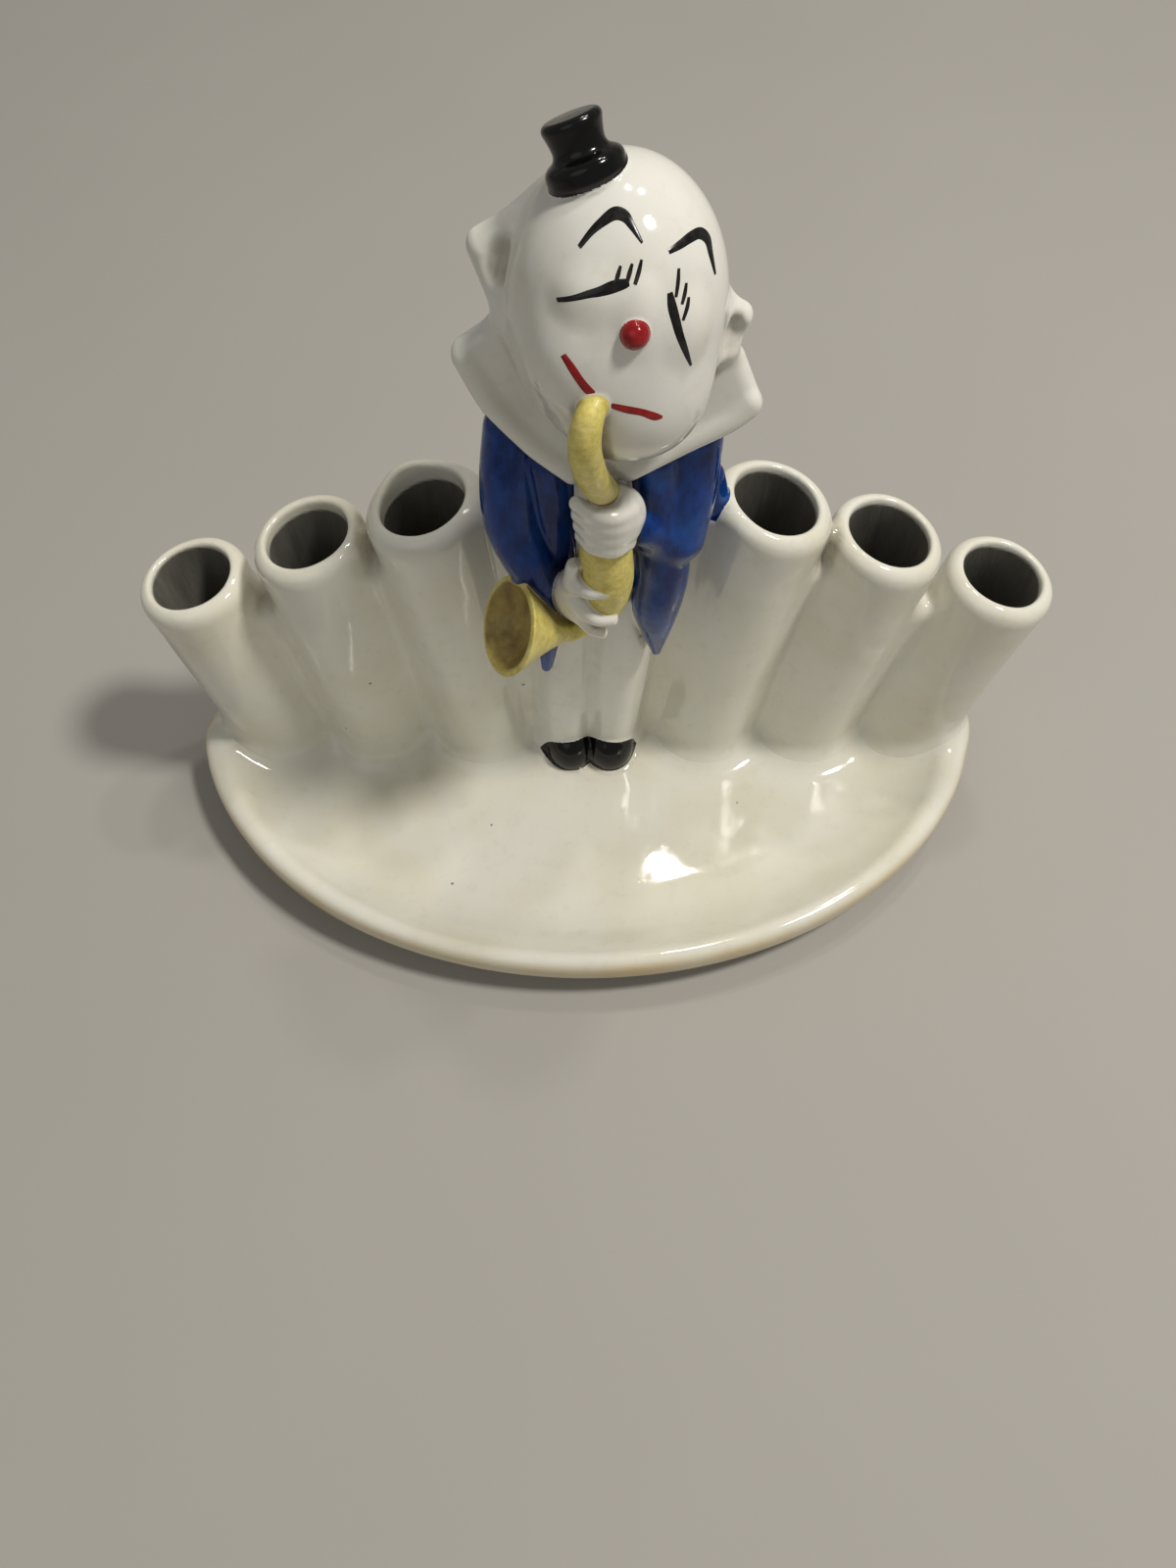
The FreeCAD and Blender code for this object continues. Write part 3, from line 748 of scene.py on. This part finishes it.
# ---- materials --------------------------------------------------------------------------
class Nodes:
    """Short way to write a node material."""

    def __init__(self, name):
        self.material = bpy.data.materials.new(name)
        self.material.use_nodes = True
        self.tree = self.material.node_tree
        self.shader = self.tree.nodes["Principled BSDF"]
        self.place = self.new("ShaderNodeTexCoord").outputs["Object"]

    def new(self, kind, **values):
        node = self.tree.nodes.new(kind)
        for key, value in values.items():
            setattr(node, key, value)
        return node

    def link(self, a, b):
        self.tree.links.new(a, b)

    def stretched(self, sx, sy, sz):
        node = self.new("ShaderNodeMapping")
        node.inputs["Scale"].default_value = (sx, sy, sz)
        self.link(self.place, node.inputs["Vector"])
        return node.outputs["Vector"]

    def noise(self, size_mm, detail=3.0, rough=0.55, vector=None):
        node = self.new("ShaderNodeTexNoise")
        node.inputs["Scale"].default_value = 1.0 / (size_mm * MM)
        node.inputs["Detail"].default_value = detail
        node.inputs["Roughness"].default_value = rough
        self.link(vector or self.place, node.inputs["Vector"])
        return node.outputs["Fac"]

    def ramp(self, value, low, high, out_low=0.0, out_high=1.0):
        node = self.new("ShaderNodeMapRange")
        node.interpolation_type = "SMOOTHSTEP"
        limits = {"From Min": low, "From Max": high, "To Min": out_low, "To Max": out_high}
        for key, number in limits.items():
            node.inputs[key].default_value = number
        self.link(value, node.inputs["Value"])
        return node.outputs["Result"]

    def math(self, operation, a, b):
        node = self.new("ShaderNodeMath", operation=operation)
        for socket, value in zip(node.inputs, (a, b)):
            if isinstance(value, (int, float)):
                socket.default_value = value
            else:
                self.link(value, socket)
        return node.outputs[0]

    def mix(self, share, a, b):
        node = self.new("ShaderNodeMix", data_type="RGBA")
        for socket, value in ((node.inputs[0], share), (node.inputs[6], a), (node.inputs[7], b)):
            if isinstance(value, tuple):
                socket.default_value = value + (1.0,)
            elif isinstance(value, (int, float)):
                socket.default_value = value
            else:
                self.link(value, socket)
        return node.outputs[2]

    def attribute(self, name):
        return self.new("ShaderNodeAttribute", attribute_name=name).outputs["Fac"]

    def specks(self, spacing_mm, radius_share, chance):
        """Rare round specks: 1 in a speck, 0 elsewhere."""
        cells = self.new("ShaderNodeTexVoronoi")
        cells.inputs["Scale"].default_value = 1.0 / (spacing_mm * MM)
        self.link(self.place, cells.inputs["Vector"])
        near = self.ramp(cells.outputs["Distance"], radius_share * 0.5, radius_share, 1.0, 0.0)
        split = self.new("ShaderNodeSeparateColor")
        self.link(cells.outputs["Color"], split.inputs["Color"])
        picked = self.math("LESS_THAN", split.outputs["Red"], chance)
        return self.math("MULTIPLY", near, picked)

    def bump(self, height, distance_mm, strength=1.0, before=None):
        node = self.new("ShaderNodeBump")
        node.inputs["Distance"].default_value = distance_mm * MM
        node.inputs["Strength"].default_value = strength
        self.link(height, node.inputs["Height"])
        if before is not None:
            self.link(before, node.inputs["Normal"])
        return node.outputs["Normal"]

    def gloss(self, ior, coat=0.0, coat_rough=0.03):
        self.shader.inputs["Coat Weight"].default_value = coat
        self.shader.inputs["Coat Roughness"].default_value = coat_rough
        self.shader.inputs["IOR"].default_value = ior


def clear_glaze(name, body, warm, grime_and_shade):
    """Clear glossy glaze over a pale body, warmer where it pools, with firing specks and grime, and its
    creases darkened with grime and painted shade.
    """
    n = Nodes(name)
    cloud = n.ramp(n.noise(14.0, 2.0), 0.35, 0.72)
    color = n.mix(cloud, body, warm)
    fine = n.noise(2.2, 4.0, 0.65)
    color = n.mix(n.ramp(fine, 0.5, 0.8, 0.0, 0.10), color, grime_and_shade)
    # creases are pulled towards the grime colour, broken up by noise: partly grime, partly painted shade
    crevice = n.attribute("crevice")
    crease_grime_and_shade = n.math("MULTIPLY", n.ramp(crevice, 0.15, 1.0), n.ramp(n.noise(3.0, 3.0), 0.25, 0.7, 0.25, 1.0))
    color = n.mix(n.math("MULTIPLY", crease_grime_and_shade, 0.62), color, grime_and_shade)
    color = n.mix(n.math("MULTIPLY", n.attribute("stain"), n.ramp(n.noise(9.0), 0.2, 0.8, 0.35, 0.9)),
                  color, (0.62, 0.49, 0.25))
    speck = n.specks(5.5, 0.055, 0.10)
    color = n.mix(n.math("MULTIPLY", speck, 0.75), color, (0.10, 0.075, 0.05))
    inside = n.attribute("bore")
    streaks = n.noise(2.0, 4.0, 0.7, n.stretched(1.0, 1.0, 0.18))
    clay = n.mix(streaks, (0.055, 0.05, 0.04), (0.19, 0.185, 0.155))
    color = n.mix(inside, color, clay)
    n.link(color, n.shader.inputs["Base Color"])
    rough = n.ramp(n.noise(4.0, 3.0), 0.3, 0.7, 0.04, 0.10)
    rough = n.math("MAXIMUM", rough, n.math("MULTIPLY", inside, 0.72))
    n.link(rough, n.shader.inputs["Roughness"])
    soft = n.bump(n.noise(5.5, 1.0), 0.16, 0.55)
    pits = n.bump(n.noise(0.9, 2.0), 0.012, 0.5, soft)
    scraped = n.bump(n.math("MULTIPLY", streaks, inside), 0.22, 0.8, pits)
    n.link(scraped, n.shader.inputs["Normal"])
    n.gloss(1.55)
    n.shader.inputs["Subsurface Weight"].default_value = 0.06
    n.shader.inputs["Subsurface Radius"].default_value = (0.0012, 0.001, 0.0007)
    return n.material


def cobalt_glaze():
    """Brushed cobalt under clear glaze: streaky, cloudy where it is thin, with painted shade near black in
    the folds.
    """
    n = Nodes("blue_glaze")
    strokes = n.noise(1.6, 5.0, 0.7, n.stretched(1.0, 0.8, 0.28))
    color = n.mix(n.ramp(strokes, 0.3, 0.75), (0.001, 0.013, 0.09), (0.003, 0.046, 0.25))
    cloud = n.noise(6.0, 3.0)
    color = n.mix(n.ramp(cloud, 0.45, 0.75, 0.0, 0.65), color, (0.006, 0.085, 0.38))
    # painted shade: folds and creases darkened to near black
    color = n.mix(n.math("MULTIPLY", n.ramp(n.attribute("crevice"), 0.3, 1.0), 0.7), color,
                  (0.001, 0.004, 0.03))
    n.link(color, n.shader.inputs["Base Color"])
    n.link(n.ramp(n.noise(2.5, 3.0), 0.3, 0.7, 0.08, 0.18), n.shader.inputs["Roughness"])
    soft = n.bump(strokes, 0.05, 0.5)
    n.link(n.bump(n.noise(4.0, 2.0), 0.12, 0.5, soft), n.shader.inputs["Normal"])
    n.gloss(1.45)
    return n.material


def yellow_enamel():
    """Satin yellow, mottled, with painted shade in brown inside the bell's mouth and in the creases."""
    n = Nodes("yellow_paint")
    mottle = n.noise(1.1, 5.0, 0.75)
    color = n.mix(n.ramp(mottle, 0.3, 0.7), (0.54, 0.44, 0.09), (0.76, 0.66, 0.19))
    worn = n.ramp(n.noise(4.5, 4.0), 0.5, 0.75)
    color = n.mix(n.math("MULTIPLY", worn, 0.35), color, (0.80, 0.73, 0.34))
    # painted shade: the inside of the bell's mouth is streaked dark brown
    brown = n.ramp(n.noise(2.4, 4.0, 0.6, n.stretched(1.0, 1.0, 0.45)), 0.3, 0.8, 0.55, 1.0)
    color = n.mix(n.math("MULTIPLY", n.attribute("hollow"), brown), color, (0.20, 0.115, 0.025))
    # painted shade: creases darkened to dark brown
    color = n.mix(n.math("MULTIPLY", n.ramp(n.attribute("crevice"), 0.3, 1.0), 0.7), color,
                  (0.16, 0.10, 0.03))
    n.link(color, n.shader.inputs["Base Color"])
    n.link(n.ramp(mottle, 0.3, 0.7, 0.36, 0.52), n.shader.inputs["Roughness"])
    n.link(n.bump(mottle, 0.03, 0.5), n.shader.inputs["Normal"])
    n.gloss(1.5, 0.12, 0.15)
    return n.material


def black_glaze():
    """Deep glossy black with a few pale specks."""
    n = Nodes("black_glaze")
    cloud = n.noise(2.0, 4.0)
    color = n.mix(cloud, (0.0008, 0.0009, 0.0012), (0.003, 0.003, 0.0032))
    color = n.mix(n.math("MULTIPLY", n.specks(2.2, 0.06, 0.12), 0.4), color, (0.25, 0.24, 0.22))
    n.link(color, n.shader.inputs["Base Color"])
    n.link(n.ramp(cloud, 0.3, 0.7, 0.08, 0.18), n.shader.inputs["Roughness"])
    n.link(n.bump(n.noise(2.6, 2.0), 0.08, 0.5), n.shader.inputs["Normal"])
    n.gloss(1.42)
    return n.material


def brush_paint(name, dark, light, rough):
    """Paint laid with a fine brush, a little streaky."""
    n = Nodes(name)
    streak = n.noise(0.9, 3.0, 0.55)
    n.link(n.mix(n.ramp(streak, 0.35, 0.75), dark, light), n.shader.inputs["Base Color"])
    n.link(n.ramp(streak, 0.3, 0.7, rough, rough + 0.12), n.shader.inputs["Roughness"])
    n.link(n.bump(streak, 0.02, 0.4), n.shader.inputs["Normal"])
    n.gloss(1.45)
    return n.material


# ---- painted face -----------------------------------------------------------------------
class FacePainter:
    """Lays tapering brush strokes on the sculpted face."""

    RISE = 0.045             # how thick the paint is in the middle of a stroke
    EDGE = 0.01              # how deep a stroke's edges lie in the face
    BACK = 0.12              # how deep its hidden back lies
    SPREAD = 0.08            # wet paint spreads this far past the brush
    HALVINGS = 26            # steps of the search for the surface

    def __init__(self, head):
        self.head = head
        self.centre = head_centre()

    def surface(self, x, z):
        """Face surface under points of the face's own x and z, looking along its y."""
        near = np.full(len(x), -HEAD_R - 3.0)
        far = np.zeros(len(x))
        for _ in range(self.HALVINGS):
            mid = (near + far) / 2
            outside = self.height(np.stack([x, mid, z], axis=1)) > 0
            near = np.where(outside, mid, near)
            far = np.where(outside, far, mid)
        return np.stack([x, near, z], axis=1)

    def height(self, q):
        """How far points given in the face's own axes are above it."""
        return self.head.field(self.centre + q @ HEAD_TURN.T)

    def stroke(self, name, stations, material, slot):
        """Stations are (x, z, half width) on the face, in order along the stroke."""
        s = smooth_stations([(x, 0.0, z, w) for x, z, w in stations], 12)
        along = unit(np.gradient(s[:, [0, 2]], axis=0))
        across = np.stack([-along[:, 1], along[:, 0]], axis=1)
        shares = np.array((-1.0, -0.6, 0.0, 0.6, 1.0))
        rises = np.array((-self.EDGE, self.RISE * 0.8, self.RISE, self.RISE * 0.8, -self.EDGE))
        rows = []
        for share, rise in zip(shares, rises):
            x = s[:, 0] + across[:, 0] * (s[:, 3] + self.SPREAD) * share
            z = s[:, 2] + across[:, 1] * (s[:, 3] + self.SPREAD) * share
            rows.append(self.lifted(self.surface(x, z), rise))
        under = self.lifted(self.surface(s[:, 0], s[:, 2]), -self.BACK)
        ring = np.stack(rows + [under], axis=1)
        count, width = ring.shape[:2]
        faces = []
        for i in range(count - 1):
            for j in range(width):
                k = (j + 1) % width
                faces.append((i * width + j, i * width + k, (i + 1) * width + k, (i + 1) * width + j))
        faces.append(tuple(range(width))[::-1])
        faces.append(tuple((count - 1) * width + j for j in range(width)))
        points = ring.reshape(-1, 3)
        obj = add_object(name, self.centre + points @ HEAD_TURN.T, faces, material, sharp=80.0)
        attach(obj, "root")

    def lifted(self, q, rise):
        """Points moved out from the face along its own slope."""
        return q + unit(changes(self.height, q, 0.03)[1]) * rise


def paint_face(painter, black, red):
    """Arched brows, closed eyes, lashes and a wide mouth, in the face's own millimetres."""
    def black_stroke(name, stations):
        painter.stroke(name, stations, black, "black_glaze")

    black_stroke("brow_left", [(-4.1, 7.7, 0.13), (-3.2, 8.8, 0.20), (-2.3, 9.6, 0.30), (-1.2, 10.3, 0.42),
                               (-0.3, 10.2, 0.40), (0.4, 9.5, 0.24), (1.3, 8.4, 0.05)])
    black_stroke("brow_right", [(3.7, 7.7, 0.16), (4.7, 8.1, 0.30), (5.7, 8.5, 0.38), (6.6, 8.6, 0.36),
                                (7.4, 8.0, 0.28), (7.8, 6.9, 0.18), (8.4, 5.2, 0.04)])
    black_stroke("eye_left", [(-5.9, 3.4, 0.13), (-4.5, 3.9, 0.18), (-3.2, 4.4, 0.27), (-2.2, 4.7, 0.36),
                              (-1.1, 5.1, 0.46), (-0.1, 5.4, 0.34), (0.3, 5.5, 0.18)])
    black_stroke("eye_right", [(4.0, 4.6, 0.20), (4.3, 3.5, 0.38), (4.7, 2.4, 0.38), (5.2, 1.1, 0.33),
                               (5.9, -0.4, 0.24), (6.7, -2.1, 0.06)])
    black_stroke("lash_left_1", [(-0.9, 5.3, 0.10), (-0.7, 6.0, 0.14), (-0.5, 6.7, 0.06)])
    black_stroke("lash_left_2", [(0.1, 5.5, 0.10), (0.3, 6.2, 0.14), (0.5, 6.9, 0.06)])
    black_stroke("lash_left_3", [(0.8, 5.4, 0.10), (1.1, 6.3, 0.14), (1.3, 7.2, 0.06)])
    black_stroke("lash_right_1", [(4.6, 4.2, 0.08), (4.7, 5.3, 0.13), (4.7, 6.4, 0.07)])
    black_stroke("lash_right_2", [(5.2, 3.6, 0.08), (5.4, 4.4, 0.13), (5.5, 5.2, 0.07)])
    black_stroke("lash_right_3", [(5.4, 2.3, 0.08), (5.7, 3.3, 0.13), (5.8, 4.1, 0.07)])
    painter.stroke("mouth_left", [(-5.2, -1.0, 0.22), (-4.4, -2.0, 0.33), (-3.5, -3.2, 0.35),
                                  (-2.7, -4.1, 0.38), (-1.9, -4.7, 0.26)], red, "red_glaze")
    painter.stroke("mouth_right", [(-0.6, -5.5, 0.22), (0.9, -5.9, 0.34), (2.4, -6.2, 0.32),
                                   (3.7, -6.7, 0.36), (4.4, -6.8, 0.10)], red, "red_glaze")


# ---- values painted on the points of each piece -----------------------------------------
def point_values(piece, sculpture, dish, points, lo, hi):
    """Named values from 0 to 1 that the materials read."""
    # crevice: how far the surface closes in; the materials darken creases with it as painted shade, mixed
    # with grime on the pale glazes
    values = {"crevice": sculpture.closing_in(piece, points, lo, hi)}
    if piece.slot == "ivory_glaze":
        bore = np.zeros(len(points))
        for t in sculpture.tubes:
            inside = np.clip((t.bore_r + 0.5 - t.radial(points)) / 0.3, 0.0, 1.0)
            depth = t.below_mouth(points) - GLAZED_DEPTH[t.seed - 1]
            depth -= 0.25 * wobble(points, 9.0, t.seed + GLAZE_SEED)
            bore = np.maximum(bore, inside * np.clip(depth / 0.4, 0.0, 1.0))
        values["bore"] = bore
        values["stain"] = dish.outer_side(points) if piece.node == "dish" else np.zeros(len(points))
    # hollow marks the inside of the bell's mouth, which the yellow paint darkens in brown as painted shade
    if piece.node == "sax_bell":
        base = np.array(at("sax_bell", *BELL_BASE))
        axis = np.array(BELL_AXIS) / np.linalg.norm(BELL_AXIS)
        radius, height = around(points, base, axis)
        inside = flare_radius(np.clip(height / BELL_L, 0.0, 1.0)) - 0.35 - radius
        values["hollow"] = np.clip((height - 5.6) / 0.4, 0, 1) * np.clip(inside / 0.4, 0, 1)
    return values


def make_floor(material):
    """Wide pale floor with a soft rise behind, so it has no hard horizon."""
    half = 900.0
    lift = 500.0
    flat_share = 0.62
    rows = 24
    points = []
    for i in range(rows + 1):
        t = i / rows
        y = half * (2.0 * t - 1.0)
        z = lift * max(0.0, (t - flat_share) / (1.0 - flat_share)) ** 2.4
        points.append((-half, y, z))
        points.append((half, y, z))
    faces = [(2 * i, 2 * i + 1, 2 * i + 3, 2 * i + 2) for i in range(rows)]
    floor = add_object("floor", np.array(points), faces, material)


def floor_material():
    n = Nodes("pale_floor")
    cloud = n.noise(60.0, 2.0)
    n.link(n.mix(cloud, (0.375, 0.36, 0.33), (0.40, 0.385, 0.355)), n.shader.inputs["Base Color"])
    n.shader.inputs["Roughness"].default_value = 0.85
    return n.material


# ---- light and camera -------------------------------------------------------------------
def area_light(name, direction, distance_mm, size_mm, watts, color, aim):
    """Round lamp that looks at a point given in millimetres."""
    lamp = bpy.data.lights.new(name, "AREA")
    lamp.shape = "DISK"
    lamp.size = size_mm * MM
    lamp.energy = watts
    lamp.color = color
    obj = bpy.data.objects.new(name, lamp)
    way = Vector(direction).normalized()
    obj.location = (Vector(aim) + way * distance_mm) * MM
    obj.rotation_euler = way.to_track_quat("Z", "Y").to_euler()
    bpy.context.scene.collection.objects.link(obj)


def make_lights():
    aim = (0.0, 0.0, 45.0)
    warm = (1.0, 0.96, 0.90)
    area_light("key", (0.46, -0.06, 0.88), 700.0, 110.0, 3.4, warm, aim)
    area_light("lamp_behind", (0.12, 0.37, 0.92), 700.0, 50.0, 0.5, warm, aim)
    area_light("lamp_side", (0.30, 0.33, 0.89), 700.0, 40.0, 0.4, warm, aim)
    area_light("fill", (-0.5, -0.7, 0.8), 900.0, 700.0, 0.5, (0.96, 0.97, 1.0), aim)
    world = bpy.data.worlds.new("soft")
    world.use_nodes = True
    world.node_tree.nodes["Background"].inputs["Color"].default_value = (1.0, 0.97, 0.92, 1.0)
    world.node_tree.nodes["Background"].inputs["Strength"].default_value = 0.25
    bpy.context.scene.world = world


def make_camera():
    pitch = math.radians(CAMERA_PITCH)
    yaw = math.radians(CAMERA_YAW)
    forward = Vector((math.sin(yaw) * math.cos(pitch), math.cos(yaw) * math.cos(pitch), -math.sin(pitch)))
    right = Vector((math.cos(yaw), -math.sin(yaw), 0.0))
    up = right.cross(forward)
    turn = Matrix((right, up, -forward)).transposed()
    turn = turn @ Matrix.Rotation(math.radians(CAMERA_ROLL), 3, "Z")
    data = bpy.data.cameras.new("camera")
    data.sensor_fit = "VERTICAL"
    data.sensor_height = SENSOR
    data.lens = CAMERA_LENS
    data.clip_start = 0.005
    camera = bpy.data.objects.new("camera", data)
    camera.matrix_world = Matrix.Translation(Vector(CAMERA_AT) * MM) @ turn.to_4x4()
    bpy.context.scene.collection.objects.link(camera)
    bpy.context.scene.camera = camera


# ---- putting it together ----------------------------------------------------------------
def sculpted(sculpture, dish, piece):
    """Points, outward faces and painted values of one piece."""
    points, faces, lo, hi = sculpture.mesh(piece)
    if signed_volume(points, faces) < 0:
        faces = [f[::-1] for f in faces]
    return points, faces, point_values(piece, sculpture, dish, points, lo, hi)


def main():
    materials = {
        "ivory_glaze": clear_glaze("ivory_glaze", (0.76, 0.75, 0.665), (0.72, 0.695, 0.575),
                                   (0.20, 0.145, 0.07)),
        "white_glaze": clear_glaze("white_glaze", (0.76, 0.755, 0.70), (0.71, 0.695, 0.61),
                                   (0.18, 0.135, 0.075)),
        "blue_glaze": cobalt_glaze(),
        "yellow_paint": yellow_enamel(),
        "black_glaze": black_glaze(),
        "red_glaze": brush_paint("red_glaze", (0.24, 0.006, 0.009), (0.38, 0.014, 0.014), 0.07),
    }
    brow_black = brush_paint("brow_black", (0.002, 0.002, 0.002), (0.014, 0.012, 0.011), 0.16)
    tubes = make_tubes()
    dish = Dish()
    pieces = make_pieces(tubes, dish)
    sculpture = Sculpture(pieces, tubes)
    with ThreadPoolExecutor(4) as workers:
        shapes = list(workers.map(lambda piece: sculpted(sculpture, dish, piece), pieces))
    for piece, (points, faces, values) in zip(pieces, shapes):
        obj = add_object(piece.node + "_look", points, faces, materials[piece.slot], values)
        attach(obj, "root")
        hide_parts(piece.node)
    head = next(p for p in pieces if p.node == "head")
    paint_face(FacePainter(head), brow_black, materials["red_glaze"])
    make_floor(floor_material())
    make_lights()
    make_camera()


main()
bpy.context.scene.view_settings.view_transform = "Standard"
